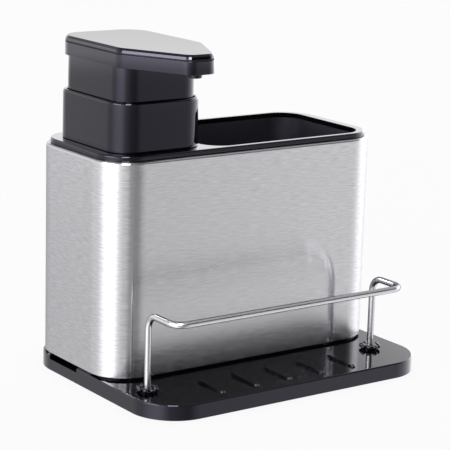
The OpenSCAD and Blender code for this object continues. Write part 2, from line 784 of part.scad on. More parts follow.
// Half section of the piston: two lips that run in the bore and a waist between them
module piston_section() {
    lip_r = bore_d / 2 - run_gap;
    waist_r = piston_waist_d / 2;
    low = piston_lip_h + piston_taper;
    polygon([[0, 0], [lip_r, 0], [lip_r, piston_lip_h], [waist_r, low], [waist_r, piston_h - low],
        [lip_r, piston_h - piston_lip_h], [lip_r, piston_h], [0, piston_h]]);
}

module piston() color("#e6e6e4") at_pump(piston_z) difference() {
    rotate_extrude() piston_section();
    translate([0, 0, -over]) cylinder(d = stem_bore_d, h = piston_h);
    translate([0, 0, stem_z - piston_z]) cylinder(d = stem_d + 2 * run_gap, h = piston_h);
}

module pump_stem() color("#ececea") at_pump(0) difference() {
    union() {
        translate([0, 0, stem_z]) cylinder(d = stem_d, h = stem_top - stem_z);
        translate([0, 0, bush_z - ball_gap - stop_h]) cylinder(d = stop_d, h = stop_h);
    }
    translate([0, 0, stem_z - over]) cylinder(d = stem_bore_d, h = stem_top - stem_z + 2 * over);
}

// Socket on the stem with the outlet ball's chamber, and a tube that runs from it to the nozzle
module spout_channel() color("#d2d2d0") at_pump(0) {
    ball_top = outlet_ball_z + outlet_ball_d / 2 + outlet_lift + ball_gap;
    socket_z = stem_top - socket_h;
    spigot_z = head_z - nozzle_h / 2;
    elbow_d = channel_d + 2 * locate_gap;
    elbow_h = channel_d + locate_gap;
    difference() {
        union() {
            translate([0, 0, socket_z]) cylinder(d = socket_d, h = channel_z + elbow_d / 2 - socket_z);
            translate([0, 0, channel_z]) rotate([90, 0, 0]) cylinder(d = channel_d, h = nozzle_y);
            translate([0, -nozzle_y, channel_z - elbow_h / 2]) cylinder(d = elbow_d, h = elbow_h);
            translate([0, -nozzle_y, spigot_z]) cylinder(d = spigot_out_d, h = channel_z - spigot_z);
        }
        translate([0, 0, socket_z - over]) cylinder(d = stem_d + 2 * run_gap, h = socket_h + over);
        translate([0, 0, stem_top - over]) cylinder(d = chamber_d, h = ball_top - stem_top + over);
        translate([0, 0, channel_z]) rotate([90, 0, 0]) cylinder(d = passage_d, h = nozzle_y + passage_d / 2);
        translate([0, -nozzle_y, spigot_z - over]) cylinder(d = outlet_d, h = channel_z - spigot_z + over);
    }
}

module outlet_ball() color("#b8babd") at_pump(outlet_ball_z) sphere(d = outlet_ball_d);

module plunger_shroud() color(black) at_pump(collar_top - shroud_in) difference() {
    shroud_h = head_gap + shroud_in;
    block(shroud_w, shroud_d, shroud_r, shroud_h);
    translate([0, 0, -over])
        block(shroud_w - 2 * shroud_t, shroud_d - 2 * shroud_t, shroud_r - shroud_t, shroud_h + 2 * over);
}

// Angle by which the head's side turns in towards the spout, at the shoulders
head_turn = atan((head_w - tip_w) / 2 / (head_front - shoulder_y));

// Corners of the head in plan, from its back left round by the spout: centre and radius of each
head_corners = let (
        w = head_w / 2,
        shoulder = [w - shoulder_r, -shoulder_y + shoulder_r * tan(head_turn / 2)],
        tip = [tip_w / 2 - tip_r * tan(45 - head_turn / 2), -head_front + tip_r])
    [[-w + head_back_r, head_back - head_back_r, head_back_r], [-shoulder[0], shoulder[1], shoulder_r],
        [-tip[0], tip[1], tip_r], [tip[0], tip[1], tip_r], [shoulder[0], shoulder[1], shoulder_r],
        [w - head_back_r, head_back - head_back_r, head_back_r]];

// Points where a straight side touches the circles at its two ends
function tangent(p, q) =
    let (d = [q[0] - p[0], q[1] - p[1]], l = norm(d), a = atan2(d[1], d[0]) - 90 + asin((p[2] - q[2]) / l))
    [[p[0] + p[2] * cos(a), p[1] + p[2] * sin(a)], [q[0] + q[2] * cos(a), q[1] + q[2] * sin(a)]];

// Plan of the pump head, set in by t
module head_plan(t) {
    c = [for (p = head_corners) [p[0], p[1], p[2] - t]];
    n = len(c);
    polygon([for (i = [0:n - 1]) each tangent(c[i], c[(i + 1) % n])]);
    for (p = c) translate([p[0], p[1]]) circle(p[2]);
}

module head_slab(t, h) {
    linear_extrude(h) head_plan(t);
}

module head_shell() color(black) at_pump(head_z) difference() {
    head_slab(0, shell_h);
    translate([0, 0, shell_t]) head_slab(shell_t, shell_h);
    translate([0, 0, -over]) cylinder(d = socket_d + 2 * run_gap, h = shell_t + 2 * over);
    translate([0, -nozzle_y, -over]) cylinder(d = spigot_out_d + 2 * run_gap, h = shell_t + 2 * over);
}

module head_cap() color("#3a3a40") at_pump(0) {
    plug_in = shell_t + seal_gap;
    steps = 4;
    difference() {
        union() {
            translate([0, 0, cap_z]) hull() for (k = [0:steps]) {
                a = 90 * k / steps;
                head_slab(cap_edge_r * (1 - cos(a)), cap_h - cap_edge_r * (1 - sin(a)));
            }
            translate([0, 0, shell_top]) head_slab(groove_in, groove_h + cap_roof_t);
            translate([0, 0, shell_top - cap_rim_h]) head_slab(plug_in, cap_rim_h + groove_h);
        }
        translate([0, 0, shell_top - cap_rim_h - over])
            head_slab(plug_in + cap_rim_t, head_top - cap_roof_t - shell_top + cap_rim_h + over);
    }
}

module nozzle_tip() color("#1c1c20") at_pump(head_z - nozzle_h) translate([0, -nozzle_y, 0]) difference() {
    cylinder(d = nozzle_d, h = nozzle_h);
    translate([0, 0, nozzle_h / 2]) cylinder(d = spigot_out_d + 2 * run_gap, h = nozzle_h);
    translate([0, 0, -over]) cylinder(d = outlet_d, h = nozzle_h + 2 * over);
}

drip_tray();
rubber_feet();
base_screws();
steel_sleeve();
deck_frame();
brush_well();
wire_rail();
rail_collar_left();
rail_collar_right();
soap_bottle();
pump_collar();
mouth_seal();
pump_cylinder();
cylinder_nut();
stem_bush();
ball_cage();
inlet_ball();
dip_tube();
return_spring();
plunger_shroud();
head_shell();
head_cap();
nozzle_tip();
spout_channel();
pump_stem();
piston();
outlet_ball();
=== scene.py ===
import math
import bmesh
import bpy
from mathutils import Matrix, Vector


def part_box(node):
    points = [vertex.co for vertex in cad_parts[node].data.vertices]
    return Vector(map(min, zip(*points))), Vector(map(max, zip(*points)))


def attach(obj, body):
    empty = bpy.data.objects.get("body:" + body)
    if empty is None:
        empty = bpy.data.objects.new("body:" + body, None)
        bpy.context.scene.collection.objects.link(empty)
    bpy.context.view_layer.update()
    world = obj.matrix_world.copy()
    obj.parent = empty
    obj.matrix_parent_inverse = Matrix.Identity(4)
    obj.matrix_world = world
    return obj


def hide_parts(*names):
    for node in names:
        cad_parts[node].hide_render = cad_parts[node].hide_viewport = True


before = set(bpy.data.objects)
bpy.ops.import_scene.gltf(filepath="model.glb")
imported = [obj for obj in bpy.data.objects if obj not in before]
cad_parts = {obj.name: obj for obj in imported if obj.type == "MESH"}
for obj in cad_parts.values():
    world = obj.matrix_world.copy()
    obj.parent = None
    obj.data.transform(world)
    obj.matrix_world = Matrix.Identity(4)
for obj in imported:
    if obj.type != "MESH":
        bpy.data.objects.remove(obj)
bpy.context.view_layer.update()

mm = 0.001

# Small helpers


def linearColour(hexCode):
    parts = [int(hexCode[i:i + 2], 16) / 255 for i in (1, 3, 5)]
    return [p / 12.92 if p <= 0.04045 else ((p + 0.055) / 1.055) ** 2.4 for p in parts] + [1.0]


# One colour at several levels, none past white
def shades(hexCode, *levels):
    base = linearColour(hexCode)[:3]
    return [[min(c * level, 1) for c in base] + [1] for level in levels]


def addNode(tree, kind, settings=None, values=None, links=None):
    node = tree.nodes.new(kind)
    for key, value in (settings or {}).items():
        setattr(node, key, value)
    for key, value in (values or {}).items():
        node.inputs[key].default_value = value
    for key, source in (links or {}).items():
        tree.links.new(source, node.inputs[key])
    return node


def startMaterial(name, look):
    material = bpy.data.materials.new(name)
    material.use_nodes = True
    tree = material.node_tree
    tree.nodes.clear()
    shader = addNode(tree, "ShaderNodeBsdfPrincipled", values=look)
    addNode(tree, "ShaderNodeOutputMaterial", links={"Surface": shader.outputs["BSDF"]})
    return material, tree, shader


def linkAll(tree, shader, sources):
    for socket, source in sources.items():
        tree.links.new(source, shader.inputs[socket])


# Lowest and highest corner of a CAD node, in mm
def boxOf(node):
    return [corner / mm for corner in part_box(node)]


# Camera: matched to the photograph's edges, image 450 x 450

cameraSet = {
    "place": (-0.51294, -0.70900, 0.27899),
    "heading": 35.655,      # degrees from +Y towards +X
    "down": 13.315,
    "roll": 1.609,
    "lens": 146.0,
    "sensor": 36.0,
    "nearest": 0.01,
}


def unitVector(heading, elevation):
    return Vector((math.sin(heading) * math.cos(elevation), math.cos(heading) * math.cos(elevation),
                   math.sin(elevation)))


def makeCamera(given):
    heading, down, roll = (math.radians(given[k]) for k in ("heading", "down", "roll"))
    ahead = unitVector(heading, -down)
    flat = Vector((math.cos(heading), -math.sin(heading), 0))
    above = flat.cross(ahead)
    right = flat * math.cos(roll) + above * math.sin(roll)
    up = above * math.cos(roll) - flat * math.sin(roll)
    turn = Matrix((right, up, -ahead)).transposed().to_4x4()
    data = bpy.data.cameras.new("photoCamera")
    data.lens = given["lens"]
    data.sensor_width = given["sensor"]
    data.clip_start = given["nearest"]
    camera = bpy.data.objects.new("photoCamera", data)
    camera.matrix_world = Matrix.Translation(given["place"]) @ turn
    bpy.context.scene.collection.objects.link(camera)
    bpy.context.scene.camera = camera


makeCamera(cameraSet)
bpy.context.scene.view_settings.view_transform = "Standard"

# Studio: a white table in a room of pale panels, with a dark gap at the front.
# Headings are degrees from +Y towards +X, so 180 is straight in front of the caddy. Upright faces mirror
# the surround, which lies below the top of the strip. Level faces mirror the backdrop above it, whose
# level at an elevation is multiplied by "facing" at a heading, and the overhead panel above that.

studioSet = {
    "surround": [(0, 0.9), (36, 0.85), (54, 1.7), (70, 2.2), (90, 2.1), (114, 1.45), (128, 1.25),
                 (140, 1.08), (148, 0.9), (158, 0.76), (170, 0.46), (180, 0.4), (190, 0.48), (205, 0.6),
                 (219, 0.74), (228, 1.1), (237, 1.7), (246, 2.1), (260, 2.1), (269, 1.9), (280, 1.5),
                 (292, 1.05), (304, 0.92), (318, 0.93), (328, 0.83), (345, 0.88)],
    "backdrop": [(0, 0.7), (4, 1.0), (7.5, 1.25), (9.5, 1.9), (12, 2.2), (15, 1.3), (19, 0.8), (30, 0.8)],
    "facing": [(0, 1.0), (40, 1.0), (50, 2.8), (80, 3.2), (100, 2.4), (114, 1.0), (126, 0.2), (144, 0.03),
               (215, 0.12), (228, 1.2), (240, 2.6), (262, 2.2), (284, 1.3), (300, 1.0)],
    # overhead panel: its level, and the heights of a unit direction at which it starts and is full
    "overhead": 0.55, "overheadFrom": 0.5, "overheadFull": 0.68,
    # light strip along the horizon: the elevations it lies between, what it multiplies by, its soft edges
    "strip": (-8.7, 3.0), "stripGain": 1.9, "stripFoot": 0.01, "stripHead": 0.04,
    # dark card before the strip: the headings and elevations it lies between, what it leaves, and its soft
    # edges in degrees, at the sides, at the foot and at the head
    "card": (112, 215, -12.8, 2.5), "cardLevel": 0.7, "cardEdges": (16, 1, 0.4),
    "table": "#f7f7f7", "tableReach": 4, "tableRoughness": 0.6,
    "tableGlow": 0.9,       # share of plain white that the camera sees in the table
    # softboxes: heading and elevation of the middle, width and height in degrees, level
    "softboxes": [(268, 30, 38, 22, 8), (215, 42, 26, 22, 24)],
    "softboxDistance": 1.6,
}

# The Mix node's colours are its inputs 6 and 7 and its output 2
timesColour = {"data_type": "RGBA", "blend_type": "MULTIPLY", "clamp_result": False}


# Height of a unit direction at an elevation in degrees
def heightAt(elevation):
    return math.sin(math.radians(elevation))


# Grey ramp over a span of degrees, with a band at each (place, level) pair
def levelRamp(tree, pairs, span, top, source, interpolation="LINEAR"):
    ramp = addNode(tree, "ShaderNodeValToRGB", links={"Fac": source})
    bands = ramp.color_ramp
    bands.interpolation = interpolation
    bands.elements.remove(bands.elements[-1])
    for place, level in pairs:
        band = bands.elements[0] if place == 0 else bands.elements.new(place / span)
        band.color = (level / top, level / top, level / top, 1)
    return ramp.outputs["Color"]


def fullTurn(pairs):
    return pairs + [(360, pairs[0][1])]


# What upright faces mirror: the panels round the room, the light strip and the dark card before it
def lowerRoom(tree, given, turn, height, top):
    panels = levelRamp(tree, fullTurn(given["surround"]), 360, top, turn)
    foot = heightAt(given["strip"][0])
    gain = addNode(tree, "ShaderNodeMapRange", links={"Value": height}, values={
        "From Min": foot, "From Max": foot + given["stripFoot"], "To Min": 1.0,
        "To Max": given["stripGain"]})
    lit = addNode(tree, "ShaderNodeMix", timesColour, {"Factor": 1.0}, {6: panels, 7: gain.outputs[0]})
    near, far, low, high = given["card"]
    side, lowEdge, highEdge = given["cardEdges"]
    edges = ((turn, near / 360, (near + side) / 360), (turn, far / 360, (far - side) / 360),
             (height, heightAt(low), heightAt(low + lowEdge)),
             (height, heightAt(high), heightAt(high - highEdge)))
    cover = None
    for source, start, end in edges:
        edge = addNode(tree, "ShaderNodeMapRange", values={"From Min": start, "From Max": end},
                       links={"Value": source}).outputs[0]
        cover = edge if cover is None else addNode(
            tree, "ShaderNodeMath", {"operation": "MULTIPLY"}, links={0: cover, 1: edge}).outputs[0]
    left = given["cardLevel"]
    return addNode(tree, "ShaderNodeMix", timesColour, {7: (left, left, left, 1)},
                   {"Factor": cover, 6: lit.outputs[2]}).outputs[2]


# What level faces mirror: the backdrop, brighter or darker by its heading, and the panel overhead
def upperRoom(tree, given, turn, height, top):
    lift = addNode(tree, "ShaderNodeMath", {"operation": "ARCSINE"}, links={0: height})
    rise = addNode(tree, "ShaderNodeMath", {"operation": "DIVIDE"}, {1: math.pi / 2},
                   {0: lift.outputs[0]})
    backdrop = levelRamp(tree, given["backdrop"], 90, top, rise.outputs[0])
    most = max(level for _, level in given["facing"])
    share = levelRamp(tree, fullTurn(given["facing"]), 360, most, turn, "EASE")
    facing = addNode(tree, "ShaderNodeMix", timesColour, {"Factor": 1.0, 7: (most, most, most, 1)},
                     {6: share})
    upright = addNode(tree, "ShaderNodeMix", timesColour, {"Factor": 1.0},
                      {6: backdrop, 7: facing.outputs[2]})
    roof = addNode(tree, "ShaderNodeMapRange", {"interpolation_type": "SMOOTHSTEP"},
                   {"From Min": given["overheadFrom"], "From Max": given["overheadFull"]},
                   {"Value": height})
    panel = given["overhead"] / top
    return addNode(tree, "ShaderNodeMix", {"data_type": "RGBA"}, {7: (panel, panel, panel, 1)},
                   {"Factor": roof.outputs[0], 6: upright.outputs[2]}).outputs[2]


def makeRoom(given):
    world = bpy.data.worlds.new("softStudio")
    bpy.context.scene.world = world
    world.use_nodes = True
    tree = world.node_tree
    tree.nodes.clear()
    look = addNode(tree, "ShaderNodeTexCoord")
    axes = addNode(tree, "ShaderNodeSeparateXYZ", links={"Vector": look.outputs["Generated"]})
    height = axes.outputs["Z"]
    heading = addNode(tree, "ShaderNodeMath", {"operation": "ARCTAN2"},
                      links={0: axes.outputs["X"], 1: axes.outputs["Y"]})
    turns = addNode(tree, "ShaderNodeMath", {"operation": "MULTIPLY"}, {1: 1 / math.tau},
                    {0: heading.outputs[0]})
    turn = addNode(tree, "ShaderNodeMath", {"operation": "WRAP"}, {1: 1.0, 2: 0.0},
                   {0: turns.outputs[0]}).outputs[0]
    top = max(level for _, level in given["surround"] + given["backdrop"])
    horizon, soft = heightAt(given["strip"][1]), given["stripHead"]
    above = addNode(tree, "ShaderNodeMapRange", links={"Value": height}, values={
        "From Min": horizon - soft, "From Max": horizon + soft})
    level = addNode(tree, "ShaderNodeMix", {"data_type": "RGBA"}, links={
        "Factor": above.outputs[0], 6: lowerRoom(tree, given, turn, height, top),
        7: upperRoom(tree, given, turn, height, top)})
    room = addNode(tree, "ShaderNodeBackground", values={"Strength": top},
                   links={"Color": level.outputs[2]})
    white = addNode(tree, "ShaderNodeBackground", values={"Color": (1, 1, 1, 1), "Strength": 1.0})
    path = addNode(tree, "ShaderNodeLightPath")
    both = addNode(tree, "ShaderNodeMixShader", links={
        0: path.outputs["Is Camera Ray"], 1: room.outputs[0], 2: white.outputs[0]})
    addNode(tree, "ShaderNodeOutputWorld", links={"Surface": both.outputs[0]})


def makeTable(given):
    mesh = bpy.data.meshes.new("studioFloor")
    reach = given["tableReach"]
    mesh.from_pydata([(-reach, -reach, 0), (reach, -reach, 0), (reach, reach, 0), (-reach, reach, 0)], [],
                     [(0, 1, 2, 3)])
    table = bpy.data.objects.new("studioFloor", mesh)
    bpy.context.scene.collection.objects.link(table)
    material, tree, shader = startMaterial("white table laminate", {
        "Base Color": linearColour(given["table"]), "Roughness": given["tableRoughness"],
        "Specular IOR Level": 0.0})
    glow = addNode(tree, "ShaderNodeEmission", values={"Color": (1, 1, 1, 1), "Strength": 1.0})
    path = addNode(tree, "ShaderNodeLightPath")
    amount = addNode(tree, "ShaderNodeMath", {"operation": "MULTIPLY"}, {1: given["tableGlow"]},
                     {0: path.outputs["Is Camera Ray"]})
    mixed = addNode(tree, "ShaderNodeMixShader", links={
        0: amount.outputs[0], 1: shader.outputs[0], 2: glow.outputs[0]})
    output = next(n for n in tree.nodes if n.type == "OUTPUT_MATERIAL")
    tree.links.new(mixed.outputs[0], output.inputs["Surface"])
    mesh.materials.append(material)
    table.visible_glossy = False    # the steel mirrors the room, not the endless table


# Softboxes that only shiny faces see: they draw the light lines along the mouldings' edges
def makeSoftboxes(given):
    reach = given["softboxDistance"]
    for heading, elevation, width, height, level in given["softboxes"]:
        lift = math.radians(elevation)
        ahead = unitVector(math.radians(heading), lift)
        data = bpy.data.lights.new("softbox", "AREA")
        data.shape = "RECTANGLE"
        data.size = 2 * reach * math.tan(math.radians(width * math.cos(lift) / 2))
        data.size_y = 2 * reach * math.tan(math.radians(height / 2))
        data.energy = level * math.pi * data.size * data.size_y
        box = bpy.data.objects.new("softbox", data)
        turn = ahead.to_track_quat("Z", "Y").to_matrix().to_4x4()
        box.matrix_world = Matrix.Translation(ahead * reach) @ turn
        box.visible_diffuse = False
        box.visible_camera = False
        bpy.context.scene.collection.objects.link(box)


makeRoom(studioSet)
makeTable(studioSet)
makeSoftboxes(studioSet)
print("studio ready")

# Materials. "spread" is the share of the roughness at the smoothest and the roughest spots.

blackGlossSet = {"finish": "polished black ABS", "colour": "#0a090d", "sheen": "#e9e4ff", "ior": 1.5,
                 "roughness": 0.05, "spread": (0.7, 1.5), "hazeSpacing": 1.5 * mm,
                 "rippleSpacing": 18 * mm, "rippleDepth": 0.004 * mm}
# Satin black for the brush well: its colour is lighter than the polished black, painted light that stands
# in for the light falling into the well
satinBlackPaintedLightSet = {**blackGlossSet, "finish": "satin black ABS, lightened with painted light", "colour": "#2f2e36", "roughness": 0.45}
# Unpolished black for a band laid in the head's seam: painted shade, dark where the seam is shaded
seamShadeBlackSet = {**blackGlossSet, "finish": "unpolished black ABS as painted seam shade", "colour": "#0c0b0f", "roughness": 0.7}


# Black ABS, injection moulded. Polished, it is mirror-like, with the faint slow ripple of a moulded wall.
# Satin, it shows a grey bloom, and its colour is lightened with painted light for the brush well;
# unpolished, it is a dark band of painted shade in the head's seam.
def makeBlack(s):
    material, tree, shader = startMaterial(s["finish"], {
        "Base Color": linearColour(s["colour"]), "IOR": s["ior"],
        "Specular Tint": linearColour(s["sheen"])})
    place = addNode(tree, "ShaderNodeTexCoord").outputs["Object"]
    haze = addNode(tree, "ShaderNodeTexNoise", values={"Scale": 1 / s["hazeSpacing"], "Detail": 4.0},
                   links={"Vector": place})
    smooth, rough = (s["roughness"] * share for share in s["spread"])
    spread = addNode(tree, "ShaderNodeMapRange", values={"To Min": smooth, "To Max": rough},
                     links={"Value": haze.outputs[0]})
    ripple = addNode(tree, "ShaderNodeTexNoise", values={"Scale": 1 / s["rippleSpacing"], "Detail": 1.0},
                     links={"Vector": place})
    bump = addNode(tree, "ShaderNodeBump", values={"Distance": s["rippleDepth"]},
                   links={"Height": ripple.outputs[0]})
    linkAll(tree, shader, {"Roughness": spread.outputs[0], "Normal": bump.outputs[0]})
    return material


blackGloss = makeBlack(blackGlossSet)
satinBlackPaintedLight = makeBlack(satinBlackPaintedLightSet)
seamShadeBlack = makeBlack(seamShadeBlackSet)

brushedSteelSet = {"colour": "#bfbfc2", "edge": "#c8c8cd", "metallic": 0.93, "roughness": 0.17,
                   "spread": (0.85, 1.15), "anisotropy": 1.0, "quarterTurn": 0.25, "streakLength": 6 * mm,
                   "streakSpacing": 0.5 * mm, "streakDepth": 0.0002 * mm, "tone": 0.11,
                   "contrast": (0.3, 0.7)}     # values of the streak noise that give dark and light


# Stainless sheet brushed along its width: each streak smears a highlight upright, and hardly sideways.
# The real grain is about 0.1 mm; it is drawn several times coarser, so that it shows.
def makeBrushedSteel(s):
    material, tree, shader = startMaterial("brushed stainless sheet", {
        "Metallic": s["metallic"], "Anisotropic": s["anisotropy"],
        "Anisotropic Rotation": s["quarterTurn"], "Specular Tint": linearColour(s["edge"])})
    place = addNode(tree, "ShaderNodeTexCoord").outputs["UV"]
    along = addNode(tree, "ShaderNodeMapping", values={
        "Scale": (1 / s["streakLength"], 1 / s["streakSpacing"], 1)}, links={"Vector": place})
    streaks = addNode(tree, "ShaderNodeTexNoise", values={"Scale": 1.0, "Detail": 3.0, "Roughness": 0.6},
                      links={"Vector": along.outputs[0]})
    fromLow, fromHigh = s["contrast"]
    contrast = addNode(tree, "ShaderNodeMapRange", values={"From Min": fromLow, "From Max": fromHigh},
                       links={"Value": streaks.outputs[0]})
    dark, light = shades(s["colour"], 1 - s["tone"], 1 + s["tone"])
    colour = addNode(tree, "ShaderNodeMix", {"data_type": "RGBA"}, {6: dark, 7: light},
                     {"Factor": contrast.outputs[0]})
    smooth, rough = (s["roughness"] * share for share in s["spread"])
    spread = addNode(tree, "ShaderNodeMapRange", values={
        "From Min": fromLow, "From Max": fromHigh, "To Min": smooth, "To Max": rough},
        links={"Value": streaks.outputs[0]})
    bump = addNode(tree, "ShaderNodeBump", values={"Distance": s["streakDepth"]},
                   links={"Height": streaks.outputs[0]})
    tangent = addNode(tree, "ShaderNodeTangent", {"direction_type": "UV_MAP", "uv_map": "UVMap"})
    linkAll(tree, shader, {"Base Color": colour.outputs[2], "Roughness": spread.outputs[0],
                           "Normal": bump.outputs[0], "Tangent": tangent.outputs[0]})
    return material


brushedSteel = makeBrushedSteel(brushedSteelSet)

wireSteelSet = {"colour": "#c4c4c8", "edge": "#3c3c44", "roughness": 0.24, "spread": (0.7, 1.4),
                "grainLength": 8 * mm, "grainWidth": 0.35 * mm, "tone": 0.02}


# Drawn stainless wire, satin: light lines along it, and sides that fall off to dark. Its drawing lines are
# finer than the grain here, which is coarse enough to show.
def makeWireSteel(s):
    material, tree, shader = startMaterial("satin drawn stainless wire", {
        "Metallic": 1.0, "Specular Tint": linearColour(s["edge"])})
    place = addNode(tree, "ShaderNodeTexCoord").outputs["Object"]
    along = addNode(tree, "ShaderNodeMapping", links={"Vector": place}, values={
        "Scale": (1 / s["grainLength"], 1 / s["grainWidth"], 1 / s["grainWidth"])})
    grain = addNode(tree, "ShaderNodeTexNoise", values={"Scale": 1.0, "Detail": 2.0},
                    links={"Vector": along.outputs[0]})
    dark, light = shades(s["colour"], 1 - s["tone"], 1 + s["tone"])
    colour = addNode(tree, "ShaderNodeMix", {"data_type": "RGBA"}, {6: dark, 7: light},
                     {"Factor": grain.outputs[0]})
    smooth, rough = (s["roughness"] * share for share in s["spread"])
    spread = addNode(tree, "ShaderNodeMapRange", values={"To Min": smooth, "To Max": rough},
                     links={"Value": grain.outputs[0]})
    linkAll(tree, shader, {"Base Color": colour.outputs[2], "Roughness": spread.outputs[0]})
    return material


wireSteel = makeWireSteel(wireSteelSet)

# Finish: colour, roughness, metallic, size and depth of its surface grain, and values of its own. Ground
# and drawn steel have a finer grain than this, and it is drawn coarser so that it shows.
plainLooks = {
    "plain stainless screw": ("#b4b4b8", 0.24, 1.0, 0.5 * mm, 0.004 * mm, {}),
    "ground steel ball": ("#c8c8cc", 0.08, 1.0, 0.3 * mm, 0.0005 * mm, {}),
    "bright spring wire": ("#a8a8ae", 0.2, 1.0, 0.4 * mm, 0.002 * mm, {}),
    "black foot rubber": ("#17171a", 0.75, 0.0, 0.6 * mm, 0.03 * mm, {}),
    "grey seal rubber": ("#84848a", 0.6, 0.0, 0.8 * mm, 0.02 * mm, {}),
    "smoke bottle plastic": ("#34343a", 0.28, 0.0, 6 * mm, 0.05 * mm, {"Transmission Weight": 0.35}),
    "natural polypropylene": ("#e4e4dc", 0.38, 0.0, 3 * mm, 0.02 * mm,
                              {"Subsurface Weight": 0.2, "Subsurface Scale": 1.5 * mm}),
}
plainSet = {"ior": 1.49, "darkest": 0.88, "spread": (0.8, 1.2)}


# Plain finishes, with one grain that varies the colour, the roughness and the relief a little: the screws
# and balls shine, the rubber is dull, and the plastics inside have a soft moulded skin
def makePlain(name, s):
    colour, roughness, metallic, size, depth, extra = plainLooks[name]
    look = {"Metallic": metallic, **extra}
    if not metallic:
        look["IOR"] = s["ior"]
    material, tree, shader = startMaterial(name, look)
    place = addNode(tree, "ShaderNodeTexCoord").outputs["Object"]
    grain = addNode(tree, "ShaderNodeTexNoise", values={"Scale": 1 / size, "Detail": 3.0},
                    links={"Vector": place})
    dark, light = shades(colour, s["darkest"], 1)
    tone = addNode(tree, "ShaderNodeMix", {"data_type": "RGBA"}, {6: dark, 7: light},
                   {"Factor": grain.outputs[0]})
    smooth, rough = (roughness * share for share in s["spread"])
    spread = addNode(tree, "ShaderNodeMapRange", values={"To Min": smooth, "To Max": rough},
                     links={"Value": grain.outputs[0]})
    bump = addNode(tree, "ShaderNodeBump", values={"Distance": depth}, links={"Height": grain.outputs[0]})
    linkAll(tree, shader, {"Base Color": tone.outputs[2], "Roughness": spread.outputs[0],
                           "Normal": bump.outputs[0]})
    return material


plain = {name: makePlain(name, plainSet) for name in plainLooks}

# Meshes: an outline in plan is a list of corner circles, and a profile is swept round it

meshSet = {"cornerSteps": 10, "filletSteps": 5, "latheSides": 48, "weld": 0.0001 * mm, "smoothUpTo": 32}


# Corner circles of a node's box, seen from above
def boxPlan(node, corner):
    low, high = boxOf(node)
    left, right, front, back = low.x + corner, high.x - corner, low.y + corner, high.y - corner
    return [(x * mm, y * mm, corner * mm)
            for x, y in ((left, back), (left, front), (right, front), (right, back))]


# One loop round the circles, counter-clockwise, with a point in the middle of each straight side
def planLoop(circles, inset, z):
    count, steps = len(circles), meshSet["cornerSteps"]
    facing = []
    for i in range(count):
        (px, py, pr), (qx, qy, qr) = circles[i], circles[(i + 1) % count]
        run = math.hypot(qx - px, qy - py)
        facing.append(math.atan2(qy - py, qx - px) - math.pi / 2 + math.asin((pr - qr) / run))
    arcs = []
    for i, (x, y, radius) in enumerate(circles):
        start = facing[i - 1]
        sweep = (facing[i] - start) % math.tau
        turns = [start + sweep * k / steps for k in range(steps + 1)]
        arcs.append([Vector((x + (radius - inset) * math.cos(a), y + (radius - inset) * math.sin(a), z))
                     for a in turns])
    loop = []
    for i, arc in enumerate(arcs):
        loop += arc + [(arc[-1] + arcs[(i + 1) % count][0]) / 2]
    return loop[-1:] + loop[:-1]


# The loop's points drawn in to a circle
def roundLoop(loop, centre, radius, z):
    middle = Vector((centre.x, centre.y, z)) * mm
    return [middle + (Vector((p.x, p.y, middle.z)) - middle).normalized() * radius * mm for p in loop]


# Corners (inset, height, fillet radius) in mm to points of a smooth profile in metres
def softProfile(corners):
    steps = meshSet["filletSteps"]
    points = []
    for i, (inset, z, radius) in enumerate(corners):
        here = Vector((inset, z))
        if not radius:
            points.append(here * mm)
            continue
        before = (Vector(corners[i - 1][:2]) - here).normalized()
        after = (Vector(corners[(i + 1) % len(corners)][:2]) - here).normalized()
        half = before.angle(after) / 2
        middle = here + (before + after).normalized() * radius / math.sin(half)
        start = (here + before * radius / math.tan(half) - middle).normalized()
        end = (here + after * radius / math.tan(half) - middle).normalized()
        for k in range(steps + 1):
            points.append((middle + start.slerp(end, k / steps) * radius) * mm)
    return points


def profileLoops(circles, corners):
    return [planLoop(circles, p.x, p.y) for p in softProfile(corners)]


def uvLayer(bm):
    return bm.loops.layers.uv.get("UVMap") or bm.loops.layers.uv.new("UVMap")


# Faces between loops of equal length, with a UV map in metres: u round the loop, v along the profile
def loft(bm, loops, closed=False):
    uv = uvLayer(bm)
    rows = [[bm.verts.new(p) for p in loop] for loop in loops]
    count = len(loops[0])
    along = [0.0]
    for k in range(count):
        along.append(along[-1] + (loops[0][k] - loops[0][(k + 1) % count]).length)
    rise = [0.0]
    for low, high in zip(loops, loops[1:] + loops[:1]):
        rise.append(rise[-1] + max((a - b).length for a, b in zip(low, high)))
    for i in range(len(rows) if closed else len(rows) - 1):
        low, high = rows[i], rows[(i + 1) % len(rows)]
        for k in range(count):
            m = (k + 1) % count
            face = bm.faces.new((low[k], low[m], high[m], high[k]))
            spots = ((k, i), (k + 1, i), (k + 1, i + 1), (k, i + 1))
            for corner, (a, b) in zip(face.loops, spots):
                corner[uv].uv = (along[a], rise[b])
    return rows


def capRow(bm, row):
    uv = uvLayer(bm)
    face = bm.faces.new(row)
    for corner in face.loops:
        corner[uv].uv = corner.vert.co.xy


# Solid of revolution about an upright axis: corners are (radius, height, fillet) in mm
def lathe(bm, x, y, corners, sides=meshSet["latheSides"]):
    turns = [math.tau * k / sides for k in range(sides)]
    loops = [[Vector((x * mm + p.x * math.cos(a), y * mm + p.x * math.sin(a), p.y)) for a in turns]
             for p in softProfile(corners)]
    loft(bm, loops, closed=True)


def plainMesh(name, bm):
    bmesh.ops.remove_doubles(bm, verts=bm.verts, dist=meshSet["weld"])
    bmesh.ops.recalc_face_normals(bm, faces=bm.faces)
    mesh = bpy.data.meshes.new(name)
    bm.to_mesh(mesh)
    bm.free()
    return mesh


